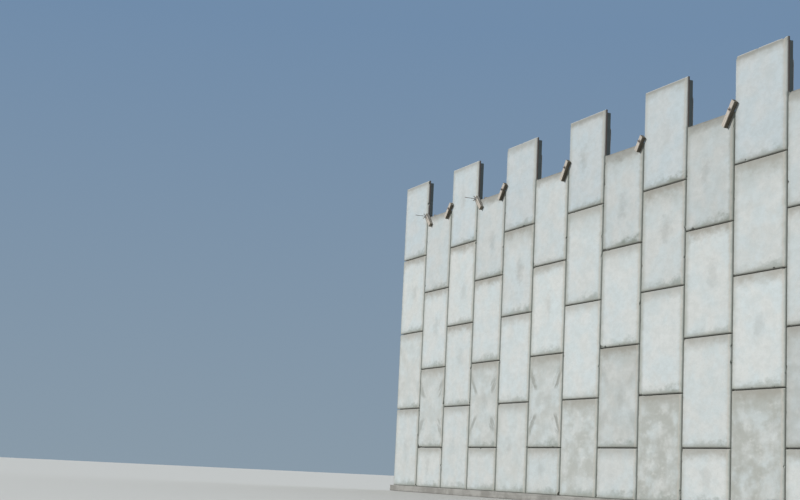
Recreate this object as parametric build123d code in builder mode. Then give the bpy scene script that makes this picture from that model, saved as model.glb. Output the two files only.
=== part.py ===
from build123d import *
import math
import os

os.makedirs("parts", exist_ok=True)

# A reinforced earth wall: columns of precast panels, every second one half a panel lower,
# tied back by steel strips. X runs along the wall, the fill lies on the +Y side, Z is up,
# and the origin is the middle of the levelling pad's underside.

# Facing grid
bay_count = 6
module_width = 1500
module_height = 2000
tall_panel_count = 4
joint_gap = 20

# Facing panel, shiplapped on all sides
panel_thickness = 160
lip_depth = 55
lap_length = 50
front_chamfer = 15

# Levelling pad
pad_width = 300
pad_height = 150
pad_overrun = 60

# Bearing pads in the horizontal joints
bearing_length = 100
bearing_depth = 75
bearing_spacing = 800

# Filter strips over the joints at the back
filter_width = 300
filter_thickness = 25
filter_below_crest = 380
filter_below_clamp = 450

# Tie strips, each a pair of prongs that holds the reinforcing strip between them
tie_spacing = 750
tie_rows_per_panel = 2
tie_length = 110
tie_thickness = 4

# Reinforcing strips
strip_layer_count = 6
strip_length = 5600
strip_width = 50
strip_thickness = 5
strip_end_gap = 15

# Timber clamps that hold the last panels at the crest
left_timber_lengths = (450, 430, 470, 330, 520)
left_timber_leans = (46, 50, 55, 52, 53)
left_bolt_offsets = (64, 57, 76, 56, 85)
right_timber_length = 420
right_timber_lean = 46
right_bolt_offset = 160
clamp_timber_width = 115
clamp_timber_depth = 80
clamp_bolt_radius = 8
clamp_bolt_side_gap = 44
clamp_bolt_rise = 18
clamp_hole_clearance = 1
clamp_washer_size = 60
clamp_washer_thickness = 6
clamp_nut_radius = 15
clamp_nut_thickness = 13
clamp_short_tail = 30
clamp_long_tail = 270

# Places that follow from the sizes
column_count = 2 * bay_count
front_y = -panel_thickness / 2
rear_y = panel_thickness / 2
lip_y = front_y + lip_depth
heel_y = lip_y + joint_gap
half_front = (module_width - joint_gap) / 2
half_drop = module_height / 2
full_height = module_height - joint_gap
half_height = half_drop - joint_gap
wall_height = tall_panel_count * module_height
tall_top = pad_height + wall_height - joint_gap
short_top = tall_top - half_drop


def column_x(index):
    return (index - (column_count - 1) / 2) * module_width


def joint_x(index):
    return (index - column_count / 2) * module_width


def is_tall(index):
    return index % 2 == 0


def save(node, name):
    node.part.label = name
    export_step(node.part, f"parts/{name}.step")


def facing_panel(height, tall, on_pad):
    """A panel with the foot of its front face at height zero."""
    if tall:
        shoulder_y = lip_y
        half_rear = half_front - lap_length
    else:
        shoulder_y = heel_y
        half_rear = half_front + lap_length
    half_widest = max(half_front, half_rear)
    side = [
        (front_y, 0),
        (front_y, height),
        (lip_y, height),
        (lip_y, height - lap_length),
        (rear_y, height - lap_length),
    ]
    if on_pad:
        side += [(rear_y, 0)]
    else:
        side += [(rear_y, -lap_length), (heel_y, -lap_length), (heel_y, 0)]
    with BuildPart() as panel:
        with BuildSketch(Plane.XY.offset(-lap_length)):
            with BuildLine():
                Polyline(
                    (-half_front, front_y),
                    (half_front, front_y),
                    (half_front, shoulder_y),
                    (half_rear, shoulder_y),
                    (half_rear, rear_y),
                    (-half_rear, rear_y),
                    (-half_rear, shoulder_y),
                    (-half_front, shoulder_y),
                    close=True,
                )
            make_face()
        extrude(amount=height + lap_length)
        with BuildSketch(Plane.YZ.offset(-half_widest)):
            with BuildLine():
                Polyline(*side, close=True)
            make_face()
        extrude(amount=2 * half_widest, mode=Mode.INTERSECT)
        chamfer(panel.faces().sort_by(Axis.Y)[0].edges(), front_chamfer)
    return panel.part


# Levelling pad
with BuildPart() as levelling_pad:
    with BuildSketch():
        Rectangle(column_count * module_width + 2 * pad_overrun, pad_width)
    extrude(amount=pad_height)
save(levelling_pad, "levelling_pad")

# Columns of facing panels
tall_base = facing_panel(full_height, tall=True, on_pad=True)
tall_upper = facing_panel(full_height, tall=True, on_pad=False)
short_base = facing_panel(half_height, tall=False, on_pad=True)
short_upper = facing_panel(full_height, tall=False, on_pad=False)
tall_feet = [pad_height + row * module_height for row in range(1, tall_panel_count)]
short_feet = [foot - half_drop for foot in tall_feet]

for index in range(column_count):
    tall = is_tall(index)
    x = column_x(index)
    with BuildPart() as column:
        with Locations((x, 0, pad_height)):
            add(tall_base if tall else short_base)
        with Locations([(x, 0, foot) for foot in (tall_feet if tall else short_feet)]):
            add(tall_upper if tall else short_upper)
    kind = "tall" if tall else "short"
    save(column, f"{kind}_column_{index // 2 + 1}")

# Bearing pads on the set-back tops of the panels below
bearing_y = (heel_y + rear_y) / 2
with BuildPart() as bearing_pads:
    for index in range(column_count):
        for foot in tall_feet if is_tall(index) else short_feet:
            with BuildSketch(Plane.XY.offset(foot - joint_gap - lap_length)):
                with Locations((column_x(index), bearing_y)):
                    with GridLocations(bearing_spacing, 0, 2, 1):
                        Rectangle(bearing_length, bearing_depth)
    extrude(amount=joint_gap)
save(bearing_pads, "bearing_pads")

# Clamps stand left of every tall panel and at the far two right edges too
left_clamps = [(joint_x(index), -1) for index in range(2, column_count, 2)]
right_clamps = [(joint_x(index), 1) for index in (1, 3)]
clamped_joints = [x for x, side in left_clamps + right_clamps]

# Vertical filter strips, carried up behind the tall panel where no clamp is in the way
back_plane = Plane.XZ.offset(-rear_y)
with BuildPart() as vertical_joint_filters:
    with BuildSketch(back_plane):
        for index in range(1, column_count):
            x = joint_x(index)
            tall_side = 1 if is_tall(index) else -1
            middle = x + tall_side * lap_length
            if x in clamped_joints:
                full_top = short_top - filter_below_clamp
            else:
                full_top = short_top - lap_length
            with Locations((middle, (pad_height + full_top) / 2)):
                Rectangle(filter_width, full_top - pad_height)
            if x not in clamped_joints:
                inner = middle + tall_side * joint_gap / 2
                outer = middle + tall_side * filter_width / 2
                upper_top = tall_top - filter_below_crest
                with Locations(((inner + outer) / 2, (full_top + upper_top) / 2)):
                    Rectangle(abs(outer - inner), upper_top - full_top)
    extrude(amount=-filter_thickness)
save(vertical_joint_filters, "vertical_joint_filters")

# Horizontal filter strips between the vertical ones
with BuildPart() as horizontal_joint_filters:
    with BuildSketch(back_plane):
        for index in range(column_count):
            tall = is_tall(index)
            length = module_width - filter_width + (-2 if tall else 2) * lap_length
            for foot in tall_feet if tall else short_feet:
                with Locations((column_x(index), foot - joint_gap / 2 - lap_length)):
                    Rectangle(length, filter_width)
    extrude(amount=-filter_thickness)
save(horizontal_joint_filters, "horizontal_joint_filters")

# Tie strips in rows, and a layer of reinforcing strips on each row that the fill has reached
tie_row_spacing = module_height / tie_rows_per_panel
row_count = tall_panel_count * tie_rows_per_panel
prong_rise = (strip_thickness + tie_thickness) / 2
for row in range(row_count):
    row_z = pad_height + (row + 0.5) * tie_row_spacing
    tied = [
        index
        for index in range(column_count)
        if row_z < (tall_top if is_tall(index) else short_top)
    ]
    places = [
        column_x(index) + half * tie_spacing / 2 for index in tied for half in (-1, 1)
    ]
    with BuildPart() as ties:
        with BuildSketch(back_plane):
            for x in places:
                with Locations((x, row_z - prong_rise), (x, row_z + prong_rise)):
                    Rectangle(strip_width, tie_thickness)
        extrude(amount=-tie_length)
    save(ties, f"tie_strips_row_{row + 1}")
    if row < strip_layer_count:
        with BuildPart() as layer:
            with BuildSketch(Plane.XZ.offset(-rear_y - strip_end_gap)):
                with Locations([(x, row_z) for x in places]):
                    Rectangle(strip_width, strip_thickness)
            extrude(amount=-strip_length)
        save(layer, f"reinforcing_strips_layer_{row + 1}")

# Crest clamps: a front and a rear timber on a bolt through the notch above a short column
bolt_inset = clamp_bolt_radius + clamp_bolt_side_gap
bolt_z = short_top + clamp_bolt_radius + clamp_bolt_rise
timber_outer = rear_y + clamp_timber_depth
washer_outer = timber_outer + clamp_washer_thickness
nut_outer = washer_outer + clamp_nut_thickness

for number, (x, side) in enumerate(left_clamps + right_clamps, start=1):
    if side < 0:
        place = (number - 1) % len(left_timber_lengths)
        timber_length = left_timber_lengths[place]
        lean, bolt_offset = left_timber_leans[place], left_bolt_offsets[place]
    else:
        timber_length = right_timber_length
        lean, bolt_offset = right_timber_lean, right_bolt_offset
    bolt_x = x - side * joint_gap / 2 + side * bolt_inset
    turn = 90 + side * (90 - lean)
    slope = math.radians(turn)
    timber_x = bolt_x - bolt_offset * math.cos(slope)
    timber_z = bolt_z - bolt_offset * math.sin(slope)
    with BuildPart() as timbers:
        for plane, growth in (
            (Plane.XZ.offset(-front_y), clamp_timber_depth),
            (back_plane, -clamp_timber_depth),
        ):
            with BuildSketch(plane):
                with Locations((timber_x, timber_z)):
                    Rectangle(timber_length, clamp_timber_width, rotation=turn)
                with Locations((bolt_x, bolt_z)):
                    Circle(clamp_bolt_radius + clamp_hole_clearance, mode=Mode.SUBTRACT)
            extrude(amount=growth)
    save(timbers, f"crest_clamp_{number}_timbers")

    tail = clamp_long_tail if side > 0 else clamp_short_tail
    with BuildPart() as bolt:
        with BuildSketch(Plane.XZ.offset(nut_outer + tail)):
            with Locations((bolt_x, bolt_z)):
                Circle(clamp_bolt_radius)
        extrude(amount=-(nut_outer + tail + washer_outer))
        for outer, inner in ((nut_outer, washer_outer), (-washer_outer, -nut_outer)):
            with BuildSketch(Plane.XZ.offset(outer)):
                with Locations((bolt_x, bolt_z)):
                    RegularPolygon(clamp_nut_radius, 6)
            extrude(amount=inner - outer)
        for outer, inner in ((washer_outer, timber_outer), (-timber_outer, -washer_outer)):
            with BuildSketch(Plane.XZ.offset(outer)):
                with Locations((bolt_x, bolt_z)):
                    Rectangle(clamp_washer_size, clamp_washer_size, rotation=turn)
            extrude(amount=inner - outer)
    save(bolt, f"crest_clamp_{number}_bolt")
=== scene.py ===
import random
from math import copysign, cos, dist, hypot, pi, radians, sin, sqrt
import bmesh
import bpy
from mathutils import Matrix, Vector, noise


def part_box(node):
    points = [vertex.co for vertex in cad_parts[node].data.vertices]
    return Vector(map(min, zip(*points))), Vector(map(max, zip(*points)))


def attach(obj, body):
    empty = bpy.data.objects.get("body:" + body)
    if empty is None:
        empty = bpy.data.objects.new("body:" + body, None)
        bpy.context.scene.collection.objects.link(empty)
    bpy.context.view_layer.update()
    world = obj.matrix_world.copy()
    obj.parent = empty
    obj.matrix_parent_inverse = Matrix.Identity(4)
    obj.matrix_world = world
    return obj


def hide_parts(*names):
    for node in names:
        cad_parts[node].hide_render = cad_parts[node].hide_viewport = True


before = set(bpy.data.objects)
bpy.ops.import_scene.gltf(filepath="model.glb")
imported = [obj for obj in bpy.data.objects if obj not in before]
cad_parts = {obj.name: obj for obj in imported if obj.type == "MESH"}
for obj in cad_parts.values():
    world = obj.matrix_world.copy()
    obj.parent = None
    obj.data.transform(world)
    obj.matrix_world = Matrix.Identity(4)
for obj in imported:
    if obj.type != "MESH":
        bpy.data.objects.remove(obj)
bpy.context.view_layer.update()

# Camera, at the photograph's viewpoint: near the ground, looking along the wall
camera_place = Vector((27.27, -15.238, 0.423))
camera_heading = 67.49
camera_pitch = 8.718
camera_roll = 2.726
lens_mm = 65.853

camera_data = bpy.data.cameras.new("camera")
camera_data.lens = lens_mm
camera_data.sensor_width = 36
camera_data.clip_end = 2000
camera = bpy.data.objects.new("camera", camera_data)
bpy.context.collection.objects.link(camera)
camera_turn = (
    Matrix.Rotation(radians(camera_heading), 4, "Z")
    @ Matrix.Rotation(radians(90 + camera_pitch), 4, "X")
    @ Matrix.Rotation(radians(camera_roll), 4, "Z")
)
camera.matrix_world = Matrix.Translation(camera_place) @ camera_turn
bpy.context.scene.camera = camera


def count_nodes(start):
    return sum(name.startswith(start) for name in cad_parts)


# Sizes that the frame gives
bay_count = count_nodes("tall_column")
row_count = count_nodes("tie_strips_row")
layer_count = count_nodes("reinforcing_strips_layer")
pad_low, pad_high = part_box("levelling_pad")
tall_low, tall_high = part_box("tall_column_1")
short_low, short_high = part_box("short_column_1")
column_pitch = (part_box("tall_column_2")[0].x - tall_low.x) / 2
panel_width = tall_high.x - tall_low.x
joint_gap = column_pitch - panel_width
lap_length = (short_high.x - short_low.x - panel_width) / 2
module_height = 2 * (tall_high.z - short_high.z)
full_height = module_height - joint_gap
half_height = module_height / 2 - joint_gap
front_y = tall_low.y
rear_y = tall_high.y

# The wall's columns of panels: kind, bay, middle in X and top
wall_columns = []
for bay in range(1, bay_count + 1):
    for kind in ("tall", "short"):
        low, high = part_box(f"{kind}_column_{bay}")
        wall_columns.append((kind, bay, (low.x + high.x) / 2, high.z))

# Sizes of the panels' edges
lip_depth = 0.055
front_chamfer = 0.015
edge_softness = 0.004
edge_spacing = 0.02
lip_y = front_y + lip_depth
heel_y = lip_y + joint_gap
merge_distance = 0.00001

# Places of a colour mix node's sockets
mix_first, mix_second, mix_result = 6, 7, 2


class Field:
    """A number, vector or colour that a node tree works out for each place."""

    def __init__(self, tree, socket):
        self.tree = tree
        self.socket = socket

    def __add__(self, other):
        return compute("ADD", self, other)

    def __sub__(self, other):
        return compute("SUBTRACT", self, other)

    def __rsub__(self, other):
        return compute("SUBTRACT", other, self)

    def __mul__(self, other):
        return compute("MULTIPLY", self, other)

    def __abs__(self):
        return compute("ABSOLUTE", self)


def feed(socket, value):
    """Links a field to the socket, or sets the socket to a plain value."""
    if isinstance(value, Field):
        value.tree.links.new(value.socket, socket)
    elif socket.type == "RGBA":
        socket.default_value = (*value, 1)
    else:
        socket.default_value = value


def add_node(kind, inputs, output=0, **settings):
    """An output of a new node, in the tree that its fields are in."""
    tree = next(value.tree for value in inputs.values() if isinstance(value, Field))
    node = tree.nodes.new(kind)
    for name, value in settings.items():
        setattr(node, name, value)
    for name, value in inputs.items():
        feed(node.inputs[name], value)
    return Field(tree, node.outputs[output])


def compute(operation, first, second=0, clamp=False):
    inputs = {0: first, 1: second}
    return add_node("ShaderNodeMath", inputs, operation=operation, use_clamp=clamp)


def ranged(value, low, high, start, end, kind="SMOOTHSTEP"):
    """Start up to low and end past high, with a smooth change between them."""
    inputs = {"Value": value, "From Min": low, "From Max": high, "To Min": start, "To Max": end}
    return add_node("ShaderNodeMapRange", inputs, interpolation_type=kind)


def fall(value, full, none):
    """1 up to full and 0 past none, smoothly; the other way round if none is lower."""
    if full < none:
        return ranged(value, full, none, 1, 0)
    return ranged(value, none, full, 0, 1)


def mix(share, first, second, blend="MIX"):
    """The first colour where the share is 0, and the second where it is 1."""
    inputs = {"Factor": share, mix_first: first, mix_second: second}
    return add_node("ShaderNodeMix", inputs, mix_result, data_type="RGBA", blend_type=blend)


def parts(vector):
    node = add_node("ShaderNodeSeparateXYZ", {0: vector}).socket.node
    return [Field(vector.tree, socket) for socket in node.outputs]


def joined(x, y, z):
    return add_node("ShaderNodeCombineXYZ", {0: x, 1: y, 2: z})


def clouds(vector, scale, detail, roughness, stretch=None):
    if stretch is not None:
        vector = add_node("ShaderNodeMapping", {"Vector": vector, "Scale": stretch})
    inputs = {"Vector": vector, "Scale": scale, "Detail": detail, "Roughness": roughness}
    return add_node("ShaderNodeTexNoise", inputs, "Fac")


def cells(vector, scale):
    return add_node("ShaderNodeTexVoronoi", {"Vector": vector, "Scale": scale}, "Distance")


def bump(height, depth, under=None):
    """A bumpy normal, over the bumps under it."""
    inputs = {"Height": height, "Distance": depth}
    if under is not None:
        inputs["Normal"] = under
    return add_node("ShaderNodeBump", inputs, "Normal")


class Graph:
    """The node tree of a material or a world."""

    def __init__(self, owner):
        owner.use_nodes = True
        self.owner = owner
        self.tree = owner.node_tree

    def source(self, kind, output):
        return Field(self.tree, self.tree.nodes.new(kind).outputs[output])

    def attribute(self, name):
        field = self.source("ShaderNodeAttribute", "Vector")
        field.socket.node.attribute_name = name
        return field

    def seen(self):
        """1 for what the eye sees, in a reflection too, and 0 for light thrown back."""
        rays = ("Is Camera Ray", "Is Glossy Ray", "Is Transmission Ray")
        straight, glossy, through = [self.source("ShaderNodeLightPath", ray) for ray in rays]
        return compute("ADD", straight, glossy + through, clamp=True)

    def fill(self, node_name, inputs):
        for name, value in inputs.items():
            feed(self.tree.nodes[node_name].inputs[name], value)

    def finish(self, colour, roughness, normal=None, more=None):
        """Fills in the surface, with more of its inputs by name, and gives the material."""
        inputs = {"Base Color": colour, "Roughness": roughness, **(more or {})}
        if normal is not None:
            inputs["Normal"] = normal
        self.fill("Principled BSDF", inputs)
        return self.owner


def new_graph(name, place_name=None):
    """A new material's graph, and the places its pattern follows."""
    graph = Graph(bpy.data.materials.new(name))
    if place_name is None:
        return graph, graph.source("ShaderNodeTexCoord", "Object")
    return graph, graph.attribute(place_name)


def crest_edges(cool, up):
    """Where a tall crest panel is, and where its sides have no neighbour."""
    tall_crest = fall(cool, 0.99, 0.9)
    return tall_crest, tall_crest * fall(up, half_height + 0.05, half_height)


def facing_front():
    """Pale concrete off a smooth mould, stained along the panel's edges, with painted shade
    beside the joints and painted highlights on the arrises that stand free at the crest.
    """
    graph, place = new_graph("facing_front")
    across, up, height = parts(graph.attribute("edge_place"))
    tone, age, seed = parts(graph.attribute("panel_look"))
    crest, wide_share, scrape_share = parts(graph.attribute("panel_marks"))
    cool, smudge_share, crest_reach = parts(graph.attribute("panel_tint"))
    left_share, right_share, smear_share = parts(graph.attribute("panel_rims"))
    tall_crest, free_edge = crest_edges(cool, up)
    short_crest = 1 - tall_crest
    below_top = height - up
    from_right = panel_width - across

    # Each panel has a pattern of its own
    own = add_node("ShaderNodeVectorMath", {0: place, 1: joined(seed, 0, 0)}, operation="ADD")

    # Body of the panel: cool and pale, a little uneven
    cloud = clouds(own, 1.7, 4, 0.55, (1, 1, 1.2))
    colour = mix(fall(cloud, 0.64, 0.36), (0.588, 0.64, 0.64), (0.635, 0.646, 0.622))
    mottle = clouds(own, 7, 6, 0.68, (1, 1, 1.7))
    colour = mix(fall(mottle, 0.62, 0.4) * 0.24, colour, (0.43, 0.455, 0.43))
    colour = mix(cool, colour, (0.95, 0.985, 1.025), "MULTIPLY")
    fine = clouds(own, 42, 4, 0.65)
    colour = mix(fall(fine, 0.62, 0.35) * 0.12, colour, (0.44, 0.47, 0.45))

    # Weathered panels: soft grey blotches with pale patches left between
    blotch = clouds(own, 2.2, 5, 0.58, (1, 1, 1.5))
    streak = clouds(own, 1, 4, 0.6, (5, 5, 0.9))
    dull = fall(blotch * 0.85 + streak * 0.15, 0.62, 0.36) * 0.74 + 0.26
    colour = mix(dull * age, colour, (0.4, 0.41, 0.375))
    fleck = fall(clouds(own, 5.5, 5, 0.58, (1, 1, 1.6)), 0.72, 0.52)
    colour = mix(fleck * age * 0.4, colour, (0.66, 0.67, 0.64))

    # Scrape marks that slant from the sides towards the panel's middle
    away = abs(up - 0.98)
    slant = abs(across - panel_width / 2) - away * 0.65
    torn = clouds(joined(slant * 7, away * 3, seed + across), 1, 5, 0.68)
    scrape = fall(abs(slant - 0.27) + (torn - 0.5) * 0.85, 0, 0.17)
    scrape *= fall(away, 0.34, 0.22) * fall(away, 0.6, 0.82) * scrape_share
    colour = mix(scrape * 0.8, colour, (0.265, 0.27, 0.24))

    # Chances that differ from panel to panel
    chance = compute("FRACT", seed)
    other_chance = compute("FRACT", seed * 7.3)
    third_chance = compute("FRACT", seed * 23.1)

    # Bands under the top edge, with a ragged lower side
    wander = (clouds(own, 4.5, 5, 0.65, (1, 1, 1.6)) - 0.5) * 0.36
    ragged_top = below_top + wander * (chance * 0.65 + 0.35)
    wide_band = fall(ragged_top + wander * 0.6, 0.02, 0.6) * wide_share
    colour = mix(wide_band * 0.74, colour, (0.335, 0.34, 0.3))
    band = fall(ragged_top, 0, 0.26) * (chance * 0.4 + 0.58) * (1 - cool * 0.35)
    colour = mix(band, colour, (0.32, 0.305, 0.262))

    # Dark band along the crest, and a thin line on top of the short columns
    crest_part = compute("DIVIDE", below_top, crest_reach) + wander * (crest_reach * 12)
    broken = fall(mottle, 0.42, 0.6) * 0.52 + 0.6
    hard_band = fall(crest_part, 0.38, 1) * tall_crest
    soft_band = fall(crest_part, 0.15, 1.15) * (short_crest * broken)
    colour = mix((hard_band + soft_band) * crest * 0.8, colour, (0.316, 0.316, 0.286))
    crest_line = fall(below_top, 0.018, 0.045) * (short_crest * crest)
    colour = mix(crest_line * (broken * 0.5), colour, (0.19, 0.175, 0.15))

    # Smears over the bottom edge, stronger to the right, and a darker band just above the foot
    run = clouds(own, 3.4, 6, 0.7, (1.4, 1.4, 2.2))
    smear = fall(up + (run - 0.5) * 0.52, -0.02, 0.2) * fall(across, 1.5, -0.6) * smear_share
    colour = mix(smear * 0.82, colour, (0.25, 0.28, 0.245))
    foot = fall(up + wander * 0.25, 0.01, 0.085)
    colour = mix(foot * 0.62, colour, (0.285, 0.29, 0.25))

    # Dull rims and beige lines beside the upright edges that have a neighbour, and painted shade
    # next to the joint, weaker where the edge stands free
    left_rim = (across, other_chance * 0.45 + 0.1, 0.12, left_share)
    right_rim = (from_right, third_chance * 0.45 + 0.3, 0.42, right_share)
    for distance, amount, beige, own_share in (left_rim, right_rim):
        ragged = distance + wander * 0.4
        colour = mix(fall(ragged, 0.02, 0.18) * own_share, colour, (0.285, 0.302, 0.268))
        colour = mix(fall(ragged, 0, 0.19) * amount, colour, (0.36, 0.38, 0.335))
        line = fall(abs(ragged - 0.07), 0.01, 0.045)
        colour = mix(line * beige, colour, (0.515, 0.465, 0.405))
        # Painted shade of the joint: a dark rim right beside it, weaker at edges that stand free
        rim = fall(ragged, 0.004, 0.075) * (0.54 - free_edge * 0.42)
        colour = mix(rim, colour, (0.3, 0.322, 0.28))

    # Painted highlight along the arrises that stand free at the crest
    top_arris_highlight = fall(below_top, 0.014, 0.024) * (tall_crest * 0.9)
    side_arris_highlight = fall(compute("MINIMUM", across, from_right), 0.014, 0.024) * free_edge
    colour = mix(compute("MAXIMUM", top_arris_highlight, side_arris_highlight) * 0.7, colour, (0.61, 0.6, 0.56))

    # Soft upright smudge near the middle of some panels
    side = (across - (chance * 0.36 + 0.52)) * 5.2
    rise = (up - height * (other_chance * 0.2 + 0.38)) * 3.6
    from_middle = compute("SQRT", side * side + rise * rise)
    faint = fall(other_chance, 0.7, 0.35) * 0.26
    smudge = fall(from_middle + (run - 0.5) * 3.2, 0, 1.3)
    smudge *= compute("MAXIMUM", faint, smudge_share)
    colour = mix(smudge, colour, (0.3, 0.312, 0.292))

    # The panel's own tone
    toned = {"Color": colour, "Value": tone * 0.12 + 1}
    colour = add_node("ShaderNodeHueSaturation", toned, "Color")

    pits = fall(cells(own, 26), 0.05, 0.11)
    colour = mix(pits * 0.45, colour, (0.25, 0.25, 0.23))
    grain = bump(clouds(own, 220, 2, 0.6), 0.0012)
    waves = bump(clouds(own, 2.6, 2, 0.5), 0.014, grain)
    return graph.finish(colour, fine * 0.12 + 0.82, bump(1 - pits, 0.002, waves))


def facing_edge():
    """Concrete on the edges that stand free at the crest, darkened with painted shade except
    where faces look up, and paler in the joints, where painted light lightens their shade.
    """
    graph, place = new_graph("facing_edge")
    up = parts(graph.attribute("edge_place"))[1]
    cool = parts(graph.attribute("panel_tint"))[0]
    free_edge = crest_edges(cool, up)[1]
    depth = parts(place)[1]
    patch = clouds(place, 6, 4, 0.6)
    # Painted shade: dark colours for the sides that stand free at the crest, brownish at the lip
    # and bluish behind it
    lip = mix(patch, (0.15, 0.11, 0.095), (0.215, 0.175, 0.155))
    behind = mix(patch, (0.105, 0.135, 0.14), (0.165, 0.19, 0.19))
    colour = mix(fall(depth, lip_y + 0.01, lip_y - 0.01), lip, behind)
    # Painted light: paler inside the joints, and paler again in a thin band just behind the front
    # face, which lightens the shade in the joints and at the crest sides
    colour = mix((1 - free_edge) * 0.85, colour, (0.4, 0.4, 0.37))
    outer = fall(depth, front_y + 0.019, front_y + 0.023)
    colour = mix(outer * 0.6, colour, (0.4, 0.39, 0.36))
    # Faces that look up get a pale colour, without the painted shade of the sides
    upward = parts(graph.source("ShaderNodeNewGeometry", "Normal"))[2]
    unshaded_top = mix(patch, (0.36, 0.355, 0.325), (0.46, 0.455, 0.425))
    colour = mix(fall(upward, 0.7, 0.3), colour, unshaded_top)
    return graph.finish(colour, 0.9, bump(clouds(place, 60, 4, 0.65), 0.003))


def facing_rear():
    """Screeded concrete on the panels' backs, as left in the mould."""
    graph, place = new_graph("facing_rear")
    patch = clouds(place, 1.8, 5, 0.6)
    trowel = clouds(place, 7, 4, 0.6, (0.5, 1, 3.5))
    colour = mix(fall(patch, 0.62, 0.38), (0.4, 0.405, 0.385), (0.5, 0.5, 0.47))
    colour = mix(fall(trowel, 0.65, 0.45) * 0.35, colour, (0.36, 0.36, 0.34))
    pits = fall(cells(place, 22), 0.04, 0.12)
    colour = mix(pits * 0.6, colour, (0.2, 0.2, 0.19))
    rough = bump(clouds(place, 90, 4, 0.65), 0.003, bump(trowel, 0.008))
    return graph.finish(colour, 0.93, bump(1 - pits, 0.004, rough))


def pad_concrete():
    """Coarse concrete cast against boards."""
    graph, place = new_graph("pad_concrete")
    patch = clouds(place, 2.4, 5, 0.62)
    boards = clouds(place, 2, 3, 0.5, (0.6, 0.6, 14))
    colour = mix(fall(patch, 0.6, 0.4), (0.26, 0.25, 0.225), (0.37, 0.36, 0.33))
    colour = mix(fall(boards, 0.62, 0.45) * 0.3, colour, (0.22, 0.215, 0.2))
    stones = fall(cells(place, 60), 0.2, 0.34)
    colour = mix(stones * 0.35, colour, (0.42, 0.4, 0.36))
    return graph.finish(colour, 0.95, bump(boards, 0.006, bump(clouds(place, 45, 5, 0.7), 0.006)))


def bearing_rubber():
    """Black moulded rubber with a dusting of cement."""
    graph, place = new_graph("bearing_rubber")
    dust = fall(clouds(place, 30, 4, 0.6), 0.68, 0.45)
    colour = mix(dust * 0.5, (0.03, 0.03, 0.031), (0.16, 0.155, 0.145))
    return graph.finish(colour, dust * 0.3 + 0.62, bump(dust, 0.001))


def filter_felt():
    """Needled felt, off-white, with grey soil marks."""
    graph, place = new_graph("filter_felt")
    matted = clouds(place, 26, 5, 0.7, (1, 1, 0.35))
    soil = clouds(place, 2.2, 5, 0.62)
    colour = mix(fall(matted, 0.62, 0.4), (0.6, 0.6, 0.565), (0.74, 0.74, 0.71))
    colour = mix(fall(soil, 0.66, 0.46) * 0.55, colour, (0.36, 0.33, 0.28))
    fluffy = bump(matted, 0.004, bump(clouds(place, 160, 5, 0.75), 0.0015))
    return graph.finish(colour, 0.96, fluffy, {"Sheen Weight": 0.25, "Sheen Roughness": 0.6})


def galvanised_steel():
    """Hot-dip zinc with faint spangle, dulled in patches."""
    graph, place = new_graph("galvanised_steel")
    spangle = fall(cells(place, 90), 0.1, 0.6)
    dull = clouds(place, 7, 5, 0.65)
    colour = mix(spangle, (0.5, 0.52, 0.53), (0.62, 0.64, 0.65))
    colour = mix(fall(dull, 0.62, 0.42) * 0.55, colour, (0.42, 0.43, 0.425))
    return graph.finish(colour, dull * 0.28 + 0.42, bump(dull, 0.001), {"Metallic": 0.75})


def clamp_steel():
    """Brown-black rolled steel with thin rust in its hollows."""
    graph, place = new_graph("clamp_steel")
    rust = fall(clouds(place, 55, 5, 0.7), 0.6, 0.44)
    colour = mix(rust, (0.255, 0.245, 0.235), (0.235, 0.15, 0.1))
    grain = bump(clouds(place, 380, 3, 0.7), 0.0006)
    return graph.finish(colour, rust * 0.32 + 0.5, grain, {"Metallic": 0.35})


def cast_zinc():
    """Bright zinc-coated casting, scuffed on its high places."""
    graph, place = new_graph("cast_zinc")
    dull = clouds(place, 40, 5, 0.7)
    colour = mix(fall(dull, 0.62, 0.4), (0.66, 0.66, 0.645), (0.8, 0.8, 0.79))
    grain = bump(clouds(place, 300, 3, 0.7), 0.0006)
    return graph.finish(colour, dull * 0.3 + 0.38, grain, {"Metallic": 0.2})


def timber_side():
    """Rough-sawn softwood gone grey-brown, its lower side darkened by painted shade and grime."""
    graph, place = new_graph("timber_side", "grain_place")
    _, across, outward = parts(place)
    bent = clouds(place, 1, 3, 0.5, (2, 6, 6))
    fibres = clouds(place, 1, 4, 0.6, (3, 90, 90))
    rings = compute("FRACT", across * 26 + (outward * 17 + bent * 2.4))
    late = fall(abs(rings - 0.5), 0.06, 0.3)
    colour = mix(late, (0.6, 0.55, 0.485), (0.475, 0.415, 0.345))
    colour = mix(fall(fibres, 0.62, 0.42) * 0.36, colour, (0.33, 0.285, 0.23))
    stain = clouds(place, 1, 5, 0.65, (3, 11, 11))
    colour = mix(fall(stain, 0.66, 0.46) * 0.4, colour, (0.24, 0.205, 0.165))
    # Painted shade, partly grime: the timber's lower side is darkened
    shaded_low_side = fall(across + (stain - 0.5) * 0.05, -0.056, -0.026)
    colour = mix(shaded_low_side * 0.85, colour, (0.075, 0.06, 0.035))
    saw = clouds(place, 1, 2, 0.5, (150, 8, 8))
    return graph.finish(colour, 0.88, bump(saw, 0.001, bump(fibres, 0.002)))


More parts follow.
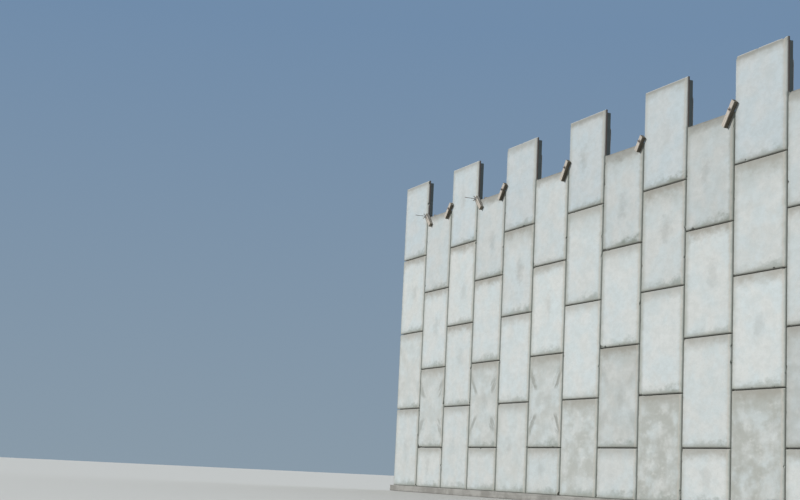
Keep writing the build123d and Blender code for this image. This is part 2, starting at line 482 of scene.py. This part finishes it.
def timber_end():
    """Sawn end grain, greyer than the sides and darkened partly by painted shade, with checks
    from the middle.
    """
    graph, place = new_graph("timber_end", "grain_place")
    _, across, outward = parts(place)
    bent = clouds(place, 1, 3, 0.5, (0.1, 9, 9))
    left = across + 0.09
    below = outward + 0.05
    radius = compute("SQRT", left * left + below * below)
    rings = compute("FRACT", radius * 190 + bent * 2)
    # Darker end-grain colours: partly the end grain's own colour and partly painted shade
    colour = mix(fall(rings, 0.25, 0.75), (0.165, 0.135, 0.095), (0.3, 0.26, 0.2))
    checks = clouds(place, 1, 4, 0.6, (1, 60, 14))
    colour = mix(fall(checks, 0.7, 0.62), colour, (0.07, 0.055, 0.04))
    return graph.finish(colour, 0.92, bump(rings, 0.0008))


facing_materials = [facing_front(), facing_edge(), facing_rear()]
front_index, edge_index, rear_index = range(len(facing_materials))


def evenly(start, end, count):
    """Values from start up to the one before end, evenly spaced."""
    return [start + (end - start) * step / count for step in range(count)]


def spaced(start, end, spacing):
    """Values from start to end, about that far apart."""
    steps = max(1, round(abs(end - start) / spacing))
    return [start + (end - start) * step / steps for step in range(steps + 1)]


def between(start, end, share):
    return tuple(a + (b - a) * share for a, b in zip(start, end))


def around(reaches):
    """Places round (0, 0) at evenly spaced angles, each at its own reach."""
    angles = evenly(0, 2 * pi, len(reaches))
    return [(reach * cos(a), reach * sin(a)) for reach, a in zip(reaches, angles)]


def at_level(outline, level):
    return [Vector((x, y, level)) for x, y in outline]


def eased(rectangle, other):
    """The rectangle with each side that isn't the other's moved a little towards it."""
    sides = []
    for own, beside in zip(rectangle, other):
        move = min(edge_softness, abs(beside - own))
        sides.append(own + copysign(move, beside - own))
    return tuple(sides)


def inset(rectangle, amount):
    left, right, foot, top = rectangle
    return (left + amount, right - amount, foot + amount, top - amount)


def panel_levels(height, tall, on_pad):
    """The panel's outline from front to back: depth, rectangle and share of wear."""
    front = (0, panel_width, 0, height)
    if tall:
        middle = (lap_length, panel_width - lap_length, 0, height - lap_length)
        rear_left, rear_right = middle[0], middle[1]
    else:
        middle = (0, panel_width, 0, height - lap_length)
        rear_left, rear_right = -lap_length, panel_width + lap_length
    rear = (rear_left, rear_right, 0 if on_pad else -lap_length, height - lap_length)
    soft = edge_softness
    return [
        (front_y, inset(front, front_chamfer + soft), 1),
        (front_y + soft / 2, inset(front, front_chamfer - soft / 2), 1),
        (front_y + front_chamfer - soft / 2, inset(front, soft / 2), 0.8),
        (front_y + front_chamfer + soft, front, 0.6),
        (lip_y - soft, front, 0.3),
        (lip_y, eased(front, middle), 0.3),
        (lip_y, middle, 0),
        (heel_y, middle, 0),
        (heel_y, eased(rear, middle), 0),
        (heel_y + soft, rear, 0),
        (rear_y - soft, rear, 0.2),
        (rear_y, inset(rear, soft), 0.2),
    ]


# Wear of the panels' arrises
corner_reach = 0.07
corner_threshold = 0.34
chip_threshold = 0.6
chip_slope = 0.09
deepest_chip = 0.03
all_round_wear = 0.001
front_levels = 3


def chip_depth(x, z, height, seed):
    """How far the arris has broken away at this place, most often near a corner."""
    broad = noise.noise(Vector((x * 5 + seed, z * 5, seed)))
    sharp = noise.noise(Vector((x * 23, z * 23 + seed, seed)))
    corner = hypot(min(x, panel_width - x), min(z, height - z))
    threshold = corner_threshold if corner < corner_reach else chip_threshold
    chip = max(0, broad + 0.5 * sharp - threshold)
    return all_round_wear * (1 + sharp) + min(deepest_chip, chip_slope * chip)


def add_panel(mesh, layers, origin_x, foot_z, height, tall, on_pad, looks):
    """One panel, its left front corner at origin_x and foot_z."""
    place_layer, look_layers = layers[0], layers[1:]
    seed = looks[0][2]
    across = round(panel_width / edge_spacing)
    up = round(height / edge_spacing)
    rings = []
    for depth, rectangle, wear in panel_levels(height, tall, on_pad):
        left, right, foot, top = rectangle
        outline = [(x, foot) for x in evenly(left, right, across)]
        outline += [(right, z) for z in evenly(foot, top, up)]
        outline += [(x, top) for x in evenly(right, left, across)]
        outline += [(left, z) for z in evenly(top, foot, up)]
        ring = []
        for x, z in outline:
            chip = wear * chip_depth(x, z, height, seed)
            x = min(max(x, left + chip), right - chip)
            z = min(max(z, foot + chip), top - chip)
            back = min(chip, lip_y - depth) if front_y < depth < lip_y else 0
            vertex = mesh.verts.new((origin_x + x, depth + back, foot_z + z))
            vertex[place_layer] = (x, z, height)
            for layer, value in zip(look_layers, looks):
                vertex[layer] = value
            ring.append(vertex)
        rings.append(ring)
    count = len(rings[0])
    for level, (near, far) in enumerate(zip(rings, rings[1:])):
        for step in range(count):
            after = (step + 1) % count
            face = mesh.faces.new((near[step], far[step], far[after], near[after]))
            face.material_index = front_index if level < front_levels else edge_index
    mesh.faces.new(rings[0]).material_index = front_index
    mesh.faces.new(reversed(rings[-1])).material_index = rear_index


def finish_piece(name, mesh, materials, node, smooth=True):
    """Makes the mesh a piece that stands for the node."""
    if smooth:
        set_soft(mesh)
    data = bpy.data.meshes.new(name)
    mesh.to_mesh(data)
    mesh.free()
    for material in materials:
        data.materials.append(material)
    piece = bpy.data.objects.new(name, data)
    bpy.context.collection.objects.link(piece)
    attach(piece, "root")
    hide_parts(node)
    return piece


def skin(mesh, rings, transform=Matrix.Identity(4), layer=None, caps=(0, 0), looped=False):
    """Closes a skin over rings of places, or joins the last ring to the first."""
    made = []
    for ring in rings:
        row = [mesh.verts.new(transform @ place) for place in ring]
        if layer is not None:
            for vertex, place in zip(row, ring):
                vertex[layer] = place
        made.append(row)
    pairs = list(zip(made, made[1:]))
    if looped:
        pairs.append((made[-1], made[0]))
    for near, far in pairs:
        for step in range(len(near)):
            after = (step + 1) % len(near)
            mesh.faces.new((near[step], near[after], far[after], far[step])).smooth = True
    if not looped:
        for row, index in zip((made[0], made[-1]), caps):
            mesh.faces.new(row).material_index = index


def divided(outline, spacing):
    """The closed outline with its long runs divided."""
    places = []
    for start, end in zip(outline, outline[1:] + outline[:1]):
        steps = max(1, round(dist(start, end) / spacing))
        places += [between(start, end, step / steps) for step in range(steps)]
    return places


def softened(outline, times):
    """The closed outline with its corners cut again and again until they are round."""
    for _ in range(times):
        pairs = zip(outline, outline[1:] + outline[:1])
        outline = [between(start, end, share) for start, end in pairs for share in (0.25, 0.75)]
    return outline


def rounded_rectangle(width, depth, radius, arc_steps=3):
    """Outline of a rectangle round (0, 0), with rounded corners."""
    outline = []
    for corner in range(4):
        angle = corner * pi / 2
        middle_x = copysign(width / 2 - radius, cos(angle + pi / 4))
        middle_y = copysign(depth / 2 - radius, sin(angle + pi / 4))
        for step in range(arc_steps + 1):
            turned = angle + step * pi / 2 / arc_steps
            x = middle_x + radius * cos(turned)
            outline.append((x, middle_y + radius * sin(turned)))
    return outline


def add_plate(mesh, transform, outline, low, high, soft, hole=None):
    """A flat plate with soft edges; hole is the x, y and radius of a hole through it."""
    middle = tuple(sum(values) / len(outline) for values in zip(*outline))
    reach = max(dist(place, middle) for place in outline)
    if hole is not None:
        middle, bore = hole[:2], hole[2]
    rings = []
    for level, amount in ((low, soft), (low + soft, 0), (high - soft, 0), (high, soft)):
        share = 1 - amount / reach
        rings.append(at_level([between(middle, place, share) for place in outline], level))
    if hole is None:
        skin(mesh, rings, transform)
        return
    rim = []
    for x, y in outline:
        away = Vector((x - middle[0], y - middle[1])).normalized() * bore
        rim.append((middle[0] + away.x, middle[1] + away.y))
    rings += [at_level(rim, high), at_level(rim, low)]
    skin(mesh, rings, transform, looped=True)


def add_hexagon(mesh, transform, low, high, radius, bore=0):
    """A chamfered hexagonal nut, or a bolt's head where there is no bore."""
    count = 24
    chamfered = 0.92 * radius
    chamfer = 0.1 * (high - low)
    near, far = low + chamfer, high - chamfer
    half_side = pi / 6
    rings = []
    for level, limit in ((low, chamfered), (near, radius), (far, radius), (high, chamfered)):
        reaches = []
        for angle in evenly(0, 2 * pi, count):
            from_flat = (angle + half_side) % (pi / 3) - half_side
            flat = radius * cos(half_side) / cos(half_side - abs(from_flat))
            reaches.append(min(flat, limit))
        rings.append(at_level(around(reaches), level))
    if bore:
        rings += [at_level(around([bore] * count), level) for level in (far, near)]
    skin(mesh, rings, transform, looped=bool(bore))


def add_rod(mesh, transform, low, high, radius, pitch, rise, sides=12, steps_per_turn=6):
    """A threaded rod: its ridge climbs round it, and its ends are tapered."""
    count = max(2, round((high - low) / pitch * steps_per_turn))
    rings = []
    for station in range(count + 1):
        level = low + (high - low) * station / count
        shrink = 0.75 if station in (0, count) else 1
        reaches = []
        for side in range(sides):
            phase = (level / pitch - side / sides) % 1
            ridge = max(0, cos(2 * pi * phase)) ** 0.6
            reaches.append((radius - rise + rise * ridge) * shrink)
        rings.append(at_level(around(reaches), level))
    skin(mesh, rings, transform)


def set_soft(mesh, sharp_angle=radians(38)):
    """Faces shade smoothly, except over edges sharper than that."""
    bmesh.ops.recalc_face_normals(mesh, faces=mesh.faces)
    for edge in mesh.edges:
        edge.smooth = edge.calc_face_angle(0) < sharp_angle


# Weathering of single panels, counted from the left and from the foot
weathering = {
    "tall 6 1": 1, "tall 5 1": 0.95, "tall 4 1": 0.85, "tall 3 1": 0.3, "tall 2 1": 0.15,
    "tall 1 1": 0.2, "tall 1 2": 0.35, "short 3 2": 0.6, "short 2 2": 0.5, "short 1 2": 0.45,
    "short 4 2": 0.45, "short 5 4": 0.25, "short 5 1": 0, "short 6 2": 0.5, "tall 6 3": 0.22,
}
light_weathering = 0.1

# Tones of single panels that differ from their neighbours', and of the crest's panels
tones = {
    "tall 6 3": -0.3, "tall 6 2": 0.25, "tall 5 3": -0.5, "tall 4 4": -0.7, "tall 4 3": -0.4,
    "tall 4 2": 0.45, "tall 3 3": -0.25, "tall 2 4": -0.3, "tall 1 4": -0.45, "short 6 4": -0.5,
    "short 6 3": -0.35, "short 6 2": -0.75, "short 6 1": 0.35, "short 5 1": 0.3,
    "short 5 3": 0.2, "short 4 3": 0.2, "short 4 2": -0.35, "short 3 4": -0.45,
    "short 3 3": 0.2,
}
crest_tone = -0.85

# Panels with slanting scrape marks
scrapes = {
    "short 3 2": 1, "short 2 2": 0.8, "short 1 2": 0.7, "short 4 2": 0.25, "tall 1 2": 0.15,
    "tall 6 1": 0.2,
}

# Panels whose dark band under the top edge reaches far down
wide_bands = {
    "tall 6 3": 0.75, "tall 5 3": 0.65, "tall 5 2": 0.2, "short 4 3": 0.2, "short 6 4": 0.4,
    "short 5 4": 0.4, "short 4 4": 0.4, "tall 4 3": 0.55, "tall 3 3": 0.6, "tall 6 1": 0.4,
    "tall 5 1": 0.3, "short 4 2": 0.3, "short 3 2": 0.4, "short 2 2": 0.3, "short 1 2": 0.3,
}

# Panels with a dark smudge near the middle
smudges = {
    "short 5 4": 0.34, "tall 5 3": 0.34, "tall 4 4": 0.36, "short 4 4": 0.34, "tall 6 2": 0.26,
    "short 4 2": 0.26, "tall 3 3": 0.36, "short 2 4": 0.3, "tall 2 3": 0.22,
}

# How strong the dark band along the crest is, and how far down it reaches
crest_bands = {
    "tall 6 4": (1.18, 0.12), "tall 5 4": (1.1, 0.1), "tall 4 4": (1.05, 0.15),
    "tall 3 4": (0.32, 0.18), "tall 2 4": (0.5, 0.12), "tall 1 4": (0.75, 0.12),
    "short 6 4": (1.1, 0.2), "short 5 4": (1.2, 0.2), "short 4 4": (1.1, 0.26),
    "short 3 4": (1.15, 0.14), "short 2 4": (0.8, 0.24), "short 1 4": (1, 0.16),
}
no_crest_band = (0, 1)

# Deep dull rims on the left and right, and the share of the smears over the foot
rims = {
    "tall 6 3": (0.25, 0.3, 0.8), "tall 6 4": (0, 0.15, 0.8), "tall 5 2": (0.75, 0.05, 1.15),
    "tall 5 3": (0.22, 0.12, 1.1), "tall 5 4": (0, 0.05, 1.4), "tall 4 2": (0, 0, 0.5),
    "tall 4 3": (0.8, 0.28, 0.9), "tall 4 4": (0, 0.12, 1.1), "tall 3 2": (0, 0.12, 0.9),
    "tall 3 3": (0, 0, 1.2), "short 5 3": (0.5, 0, 0.75), "short 5 4": (0.1, 0.9, 1.25),
    "short 4 3": (0.45, 0, 0.9), "short 4 4": (0.6, 0.38, 1.6), "short 3 4": (0.15, 0, 0.5),
    "short 2 4": (0.3, 0.1, 1.2),
}
plain_rims = (0, 0, 1)

# Columns of panels
tone_spread = 0.22
most_cool = 0.25
seed_spread = 50
look_names = ("edge_place", "panel_look", "panel_tint", "panel_marks", "panel_rims")
draw = random.Random(7)
for kind, bay, centre_x, top in wall_columns:
    tall = kind == "tall"
    origin_x = centre_x - panel_width / 2
    foot_z = pad_high.z
    mesh = bmesh.new()
    layers = [mesh.verts.layers.float_vector.new(name) for name in look_names]
    row = 1
    while foot_z < top - joint_gap:
        panel = f"{kind} {bay} {row}"
        on_pad = row == 1
        height = half_height if on_pad and not tall else full_height
        if foot_z + height > top - joint_gap:
            tone = tones.get(panel, crest_tone)
            cool = 1 if tall else most_cool
        else:
            tone = tones.get(panel, 0)
            cool = draw.uniform(0, most_cool)
        tone += draw.uniform(-tone_spread, tone_spread)
        age = weathering.get(panel, light_weathering)
        look = (tone, age, draw.uniform(0, seed_spread))
        crest_share, crest_reach = crest_bands.get(panel, no_crest_band)
        marks = (crest_share, wide_bands.get(panel, 0), scrapes.get(panel, 0))
        tint = (cool, smudges.get(panel, 0), crest_reach)
        looks = (look, tint, marks, rims.get(panel, plain_rims))
        add_panel(mesh, layers, origin_x, foot_z, height, tall, on_pad, looks)
        foot_z += height + joint_gap
        row += 1
    bmesh.ops.remove_doubles(mesh, verts=mesh.verts, dist=merge_distance)
    node = f"{kind}_column_{bay}"
    finish_piece(f"{kind}_panels_{bay}", mesh, facing_materials, node, False)

# Levelling pad: board-marked and a little uneven
pad_size = pad_high - pad_low
pad_inset = 0.002
pad_arris = 0.008
pad_ring_spacing = 0.03
pad_station_spacing = 0.05
pad_dent = 0.006
pad_smooth_from = 0.4
outline = rounded_rectangle(pad_size.y - 2 * pad_inset, pad_size.z - 2 * pad_inset, pad_arris)
outline = divided(outline, pad_ring_spacing)
pad_steps = round(pad_size.x / pad_station_spacing)
mesh = bmesh.new()
rings = []
for station in range(pad_steps + 1):
    x = pad_low.x + pad_inset + (pad_size.x - 2 * pad_inset) * station / pad_steps
    ring = []
    for y, z in outline:
        dent = 0.5 + 0.5 * noise.noise(Vector((x * 6, y * 9, z * 14)))
        dent = pad_dent * dent * (0 if z > pad_smooth_from * pad_size.z else 1)
        share = 1 - dent / hypot(y, z)
        ring.append(Vector((x, y * share, pad_size.z / 2 + z * share)))
    rings.append(ring)
skin(mesh, rings)
finish_piece("cast_levelling_pad", mesh, [pad_concrete()], "levelling_pad")

# The bearing pads are the frame's own, with a material
bearing_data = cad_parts["bearing_pads"].data
bearing_data.materials.clear()
bearing_data.materials.append(bearing_rubber())

# Ties and reinforcing strips
zinc = galvanised_steel()
tie_offset = 0.375
tie_width = 0.05
prong_thickness = 0.004
prong_soft = 0.0006
prong_clip = 0.01
prong_spacing = 0.02
strip_thickness = 0.005
strip_arris = 0.0012
tie_bolt_from_end = 0.03
tie_bolt_radius = 0.006
tie_bolt_pitch = 0.004
tie_bolt_ridge = 0.0006
tie_bolt_tail = 0.017
tie_hole_clearance = 0.001
tie_nut_radius = 0.011
tie_nut_height = 0.01
tie_head_height = 0.008
rib_spacing = 0.15
rib_width = 0.008
rib_top = 0.004
rib_height = 0.0025
first_rib = 0.16


def add_rib(mesh, x, y, z, way):
    """A low cross rib on a strip's upper or lower face."""
    top_z = z + way * rib_height
    section = [(y - rib_width / 2, z), (y - rib_top / 2, top_z)]
    section += [(y + rib_top / 2, top_z), (y + rib_width / 2, z)]
    sides = (x - tie_width / 2, x + tie_width / 2)
    skin(mesh, [[Vector((side, *place)) for place in section] for side in sides])


for row in range(1, row_count + 1):
    tie_low, tie_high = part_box(f"tie_strips_row_{row}")
    row_z = (tie_low.z + tie_high.z) / 2
    rise = (tie_high.z - tie_low.z) / 2
    tie_length = tie_high.y - tie_low.y
    bolt_y = tie_length - tie_bolt_from_end
    half = tie_width / 2
    clip_y = tie_length - prong_clip
    prong = [(-half, 0), (half, 0), (half, clip_y), (half - prong_clip, tie_length)]
    prong += [(prong_clip - half, tie_length), (-half, clip_y)]
    prong = divided(prong, prong_spacing)
    tied = [centre_x for kind, bay, centre_x, top in wall_columns if row_z < top]
    places = [centre_x + way * tie_offset for centre_x in tied for way in (-1, 1)]
    mesh = bmesh.new()
    for x in places:
        for low_z in (row_z - rise, row_z + rise - prong_thickness):
            move = Matrix.Translation((x, tie_low.y, low_z))
            hole = (0, bolt_y, tie_bolt_radius + tie_hole_clearance)
            add_plate(mesh, move, prong, 0, prong_thickness, prong_soft, hole)
        if row <= layer_count:
            move = Matrix.Translation((x, tie_low.y + bolt_y, row_z))
            add_hexagon(mesh, move, rise, rise + tie_head_height, tie_nut_radius)
            nut_low = -rise - tie_nut_height
            add_hexagon(mesh, move, nut_low, -rise, tie_nut_radius, tie_bolt_radius)
            thread = (tie_bolt_radius, tie_bolt_pitch, tie_bolt_ridge)
            add_rod(mesh, move, -rise - tie_bolt_tail, rise, *thread, sides=8, steps_per_turn=2)
    finish_piece(f"ties_{row}", mesh, [zinc], f"tie_strips_row_{row}")

    if row <= layer_count:
        node = f"reinforcing_strips_layer_{row}"
        strip_low, strip_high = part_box(node)
        section = rounded_rectangle(tie_width, strip_thickness, strip_arris, 1)
        mesh = bmesh.new()
        for x in places:
            rings = []
            for y in (strip_low.y, strip_high.y):
                rings.append([Vector((x + across, y, row_z + up)) for across, up in section])
            skin(mesh, rings)
            y = strip_low.y + first_rib
            while y < strip_high.y - rib_spacing / 2:
                for way in (-1, 1):
                    add_rib(mesh, x, y, row_z + way * strip_thickness / 2, way)
                y += rib_spacing
        finish_piece(f"strips_{row}", mesh, [zinc], node)

# Felt strips over the joints at the back
felt = filter_felt()
felt_thickness = 0.004
felt_gap = 0.002
felt_stand = 0.017
felt_width = 0.3
felt_spacing = 0.04
felt_below_clamp = 0.45
felt_flat_rim = 0.08
felt_smooth_rim = 0.05
felt_fray = 0.004
clamp_reach = 0.2
filter_low, filter_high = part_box("vertical_joint_filters")
clamp_centres = []
for number in range(1, count_nodes("crest_clamp") // 2 + 1):
    low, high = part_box(f"crest_clamp_{number}_bolt")
    clamp_centres.append((low + high) / 2)


def felt_sheet(name, columns, rows, keep, node, flat):
    """A wavy felt strip on the given grid of X and Z, where keep says so."""
    mesh = bmesh.new()
    made = {}
    seed = draw.uniform(0, seed_spread)

    def corner(i, j):
        if (i, j) not in made:
            x, z = columns[i], rows[j]
            edge = min(x - columns[0], columns[-1] - x, z - rows[0], rows[-1] - z)
            ripple = 0.5 + 0.9 * noise.noise(Vector((x * 4 + seed, z * 2.2, seed)))
            fine = 0.5 + 0.5 * noise.noise(Vector((x * 13, z * 9 + seed, seed)))
            lift = min(1, 0.25 + edge / felt_flat_rim) * min(1, max(0, ripple))
            lift = 0.8 * lift + 0.2 * fine * min(1, edge / felt_smooth_rim)
            fray = abs(felt_fray * noise.noise(Vector((x * 31, z * 31, seed))))
            x += fray * (1 if i == 0 else -1 if i == len(columns) - 1 else 0)
            z += fray * (1 if j == 0 else -1 if j == len(rows) - 1 else 0)
            made[(i, j)] = mesh.verts.new((x, rear_y + (felt_gap + felt_stand * lift), z))
        return made[(i, j)]

    for i in range(len(columns) - 1):
        for j in range(len(rows) - 1):
            if keep(i, j):
                places = ((i, j), (i, j + 1), (i + 1, j + 1), (i + 1, j))
                mesh.faces.new([corner(*place) for place in places])
    bmesh.ops.recalc_face_normals(mesh, faces=mesh.faces)
    if sum(face.normal.y for face in mesh.faces) < 0:
        bmesh.ops.reverse_faces(mesh, faces=mesh.faces)
    bmesh.ops.solidify(mesh, geom=mesh.faces[:], thickness=-felt_thickness)
    for face in mesh.faces:
        face.smooth = True
    piece = finish_piece(name, mesh, [felt], node)


for joint in range(1, 2 * bay_count):
    x = (joint - bay_count) * column_pitch
    tall_side = 1 if joint % 2 == 0 else -1
    middle = x + tall_side * lap_length
    clamped = any(abs(centre.x - x) < clamp_reach for centre in clamp_centres)
    full_top = short_high.z - (felt_below_clamp if clamped else lap_length)
    inner = middle + tall_side * joint_gap / 2
    left, right = middle - felt_width / 2, middle + felt_width / 2
    columns = spaced(left, inner, felt_spacing) + spaced(inner, right, felt_spacing)[1:]
    rows = spaced(filter_low.z, full_top, felt_spacing)
    lower_rows = len(rows) - 1
    area = None
    if not clamped:
        rows += spaced(full_top, filter_high.z, felt_spacing)[1:]
        half_width = felt_width / 2 - joint_gap / 2
        area = felt_width * (full_top - filter_low.z) + half_width * (filter_high.z - full_top)

    def keep(i, j):
        middle_of_cell = (columns[i] + columns[i + 1]) / 2
        return j < lower_rows or (middle_of_cell - inner) * tall_side > 0

    felt_sheet(
        f"felt_upright_{joint}", columns, rows, keep, "vertical_joint_filters",
        (felt_width, rows[-1] - rows[0]),
    )

for kind, bay, centre_x, top in wall_columns:
    first, lap = (full_height, -lap_length) if kind == "tall" else (half_height, lap_length)
    reach = (column_pitch - felt_width) / 2 + lap
    z = pad_high.z + first + joint_gap / 2 - lap_length
    count = 1
    while z < top - lap_length - joint_gap:
        columns = spaced(centre_x - reach, centre_x + reach, felt_spacing)
        rows = spaced(z - felt_width / 2, z + felt_width / 2, felt_spacing)
        felt_sheet(
            f"felt_level_{kind}_{bay}_{count}", columns, rows, lambda i, j: True,
            "horizontal_joint_filters", (felt_width, 2 * reach),
        )
        z += module_height
        count += 1

# Crest clamps: two timbers, a coarse-threaded rod, plates and nuts
timber_faces = [timber_side(), timber_end()]
clamp_metals = [clamp_steel(), cast_zinc()]
left_leans = (46, 50, 55, 52, 53)
right_lean = 46
rounded_clamp = 1
timber_seed_spread = 40
timber_width = 0.115
timber_arris = 0.005
timber_ring_spacing = 0.006
timber_station_spacing = 0.014
timber_end_bevel = 0.003
timber_wear = 0.0012
knock_depth = 0.012
rounded_corner = 0.045
split_width = 0.0065
split_depth = 0.008
rod_radius = 0.008
rod_pitch = 0.009
rod_ridge = 0.0014
rod_bore = rod_radius * 0.97
rod_clearance = 0.0005
nut_radius = 0.015
nut_thickness = 0.013
plate_size = 0.06
plate_thickness = 0.006
plate_corner = 0.004
plate_spacing = 0.012
plate_soft = 0.0008
least_long_tail = 0.1
hub_radius = 0.0135
hub_height = 0.042
flange_radius = 0.034
flange_height = 0.004
flange_soft = 0.0012
casting_soft = 0.002
ear_twist = 0.2
ear_half = 0.005
ear = [(0.006, 0.003), (0.024, 0.005), (0.044, 0.014), (0.066, 0.04), (0.068, 0.066)]
ear += [(0.052, 0.072), (0.036, 0.05), (0.024, 0.036), (0.006, 0.036)]


def add_timber(mesh, layer, transform, length, depth, seed, round_top):
    """A sawn timber, worn and split along its grain; its length runs along the first axis."""
    outline = divided(rounded_rectangle(timber_width, depth, timber_arris), timber_ring_spacing)
    tip = length / 2
    stations = [-tip, -tip + timber_end_bevel]
    stations += spaced(-tip + 0.01, tip - 0.01, timber_station_spacing)
    if round_top:
        stations += [tip - 0.007, tip - 0.004]
    stations += [tip - timber_end_bevel, tip]
    stations.sort()
    split_at = 0.028 * noise.noise(Vector((seed, 0.5, 0.5))) + 0.012
    rings = []
    for u in stations:
        end = tip - abs(u)
        shrink = 1 - max(0, timber_end_bevel - end) / timber_width * 2
        if round_top and u > 0:
            cut = max(0, rounded_corner - end)
            drop = rounded_corner - sqrt(rounded_corner * rounded_corner - cut * cut)
            shrink *= 1 - 2 * drop / timber_width * 0.9
        ring = []
        for v, w in outline:
            wear = timber_wear * (1 + noise.noise(Vector((u * 9 + seed, v * 60, w * 60))))
            knock = noise.noise(Vector((u * 16, v * 12 + seed, w * 12)))
            knock = max(0, knock - 0.25) * knock_depth
            corner_share = min(abs(v) / (timber_width / 2), 1) * min(abs(w) / (depth / 2), 1)
            share = 1 - (wear + knock * corner_share ** 6) / hypot(v, w)
            split_v = split_at + 0.006 * noise.noise(Vector((u * 7, seed, 0.1)))
            split = max(0, 1 - abs(v - split_v) / split_width) if w > 0.4 * depth else 0
            split *= max(0, min(1, 2.2 * abs(u) / length - 0.25))
            outward = depth / 2 + w * share - split_depth * split
            ring.append(Vector((u, v * share * shrink, outward)))
        rings.append(ring)
    skin(mesh, rings, transform, layer, caps=(1, 1))


for number, centre in enumerate(clamp_centres, start=1):
    node = f"crest_clamp_{number}_timbers"
    bolt_node = f"crest_clamp_{number}_bolt"
    low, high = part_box(node)
    bolt_low, bolt_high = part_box(bolt_node)
    depth = front_y - low.y
    right_side = bolt_low.y < low.y - least_long_tail
    turn = radians(180 - right_lean if right_side else left_leans[number - 1])
    length = (high.x - low.x - timber_width * sin(turn)) / abs(cos(turn))
    mesh = bmesh.new()
    layer = mesh.verts.layers.float_vector.new("grain_place")
    for face_y, way in ((front_y, -1), (rear_y, 1)):
        axes = Matrix((
            (cos(turn), -sin(turn), 0, 0),
            (0, 0, way, 0),
            (sin(turn), cos(turn), 0, 0),
            (0, 0, 0, 1),
        ))
        if right_side:
            axes = axes @ Matrix.Diagonal((1, -1, 1, 1))
        place = Matrix.Translation(((low.x + high.x) / 2, face_y, (low.z + high.z) / 2))
        seed = draw.uniform(0, timber_seed_spread)
        round_top = number == rounded_clamp and way < 0
        add_timber(mesh, layer, place @ axes, length, depth, seed, round_top)
    finish_piece(f"clamp_timbers_{number}", mesh, timber_faces, node)

    outer = depth - front_y
    nut_low = outer + plate_thickness
    nut_high = nut_low + nut_thickness
    on_rod = (0, 0, rod_bore)
    mesh = bmesh.new()
    middle = Matrix.Translation((centre.x, 0, centre.z))
    front = middle @ Matrix.Rotation(pi / 2, 4, "X")
    back = middle @ Matrix.Rotation(-pi / 2, 4, "X")
    plate = divided(rounded_rectangle(plate_size, plate_size, plate_corner, 2), plate_spacing)
    twist = Matrix.Rotation(turn, 4, "Z")
    for side in (front, back):
        hole = (0, 0, rod_radius + rod_clearance)
        add_plate(mesh, side @ twist, plate, outer, nut_low, plate_soft, hole)
    rod_low = -bolt_high.y + rod_clearance
    add_rod(mesh, front, rod_low, -bolt_low.y, rod_radius, rod_pitch, rod_ridge)
    add_hexagon(mesh, back, nut_low, nut_high, nut_radius, rod_bore)
    if not right_side:
        add_hexagon(mesh, front, nut_low, nut_high, nut_radius, rod_bore)
    steel_faces = len(mesh.faces)
    if right_side:
        hub = around([hub_radius] * 20)
        add_plate(mesh, front, hub, nut_low, nut_low + hub_height, casting_soft, on_rod)
        flange = around([flange_radius] * 24)
        add_plate(mesh, front, flange, nut_low, nut_low + flange_height, flange_soft, on_rod)
        for way in (-pi / 2 - ear_twist, pi / 2 - ear_twist):
            upright = Matrix.Rotation(way, 4, "Z") @ Matrix.Rotation(pi / 2, 4, "X")
            ear_place = front @ Matrix.Translation((0, 0, nut_low)) @ upright
            add_plate(mesh, ear_place, softened(ear, 2), -ear_half, ear_half, casting_soft)
    mesh.faces.ensure_lookup_table()
    for face in mesh.faces[steel_faces:]:
        face.material_index = 1
    finish_piece(f"clamp_bolt_{number}", mesh, clamp_metals, bolt_node)

# Light: one soft lamp from the left, and a wide glow behind that reaches the back
bpy.context.scene.view_settings.view_transform = "Standard"
sun_data = bpy.data.lights.new("key_light", "SUN")
sun_data.energy = 2.92
sun_data.angle = radians(6)
sun = bpy.data.objects.new("key_light", sun_data)
sun_from = Vector((-0.4, -0.84, 0.36))
sun.rotation_euler = sun_from.to_track_quat("Z", "Y").to_euler()
bpy.context.collection.objects.link(sun)

low_backdrop = (0.25, 0.325, 0.395)
high_backdrop = (0.165, 0.262, 0.4)
high_backdrop_rise = 0.3
sky_colour = (0.85, 0.93, 1)
sky_strength = 0.26
glow_strength = 1.7
glow_from = Vector((-0.45, 0.8, 0.4)).normalized()

world = bpy.data.worlds.new("studio")
bpy.context.scene.world = world
graph = Graph(world)
direction = graph.source("ShaderNodeTexCoord", "Generated")
both = {0: direction, 1: glow_from}
towards_glow = add_node("ShaderNodeVectorMath", both, "Value", operation="DOT_PRODUCT")
glow = ranged(towards_glow, 0, 1, sky_strength, glow_strength)
sky = mix(1, sky_colour, glow, "MULTIPLY")
high_share = ranged(parts(direction)[2], 0, high_backdrop_rise, 0, 1, "LINEAR")
backdrop = mix(high_share, low_backdrop, high_backdrop)
graph.fill("Background", {"Color": mix(graph.seen(), sky, backdrop), "Strength": 1})

# Floor: pale to the eye, and darker to the light that it throws back
bpy.ops.mesh.primitive_plane_add(size=800)
floor = bpy.context.object
floor.name = "floor"
graph = Graph(bpy.data.materials.new("floor"))
colour = mix(graph.seen(), (0.3, 0.29, 0.27), (0.53, 0.51, 0.47))
floor.data.materials.append(graph.finish(colour, 0.9))
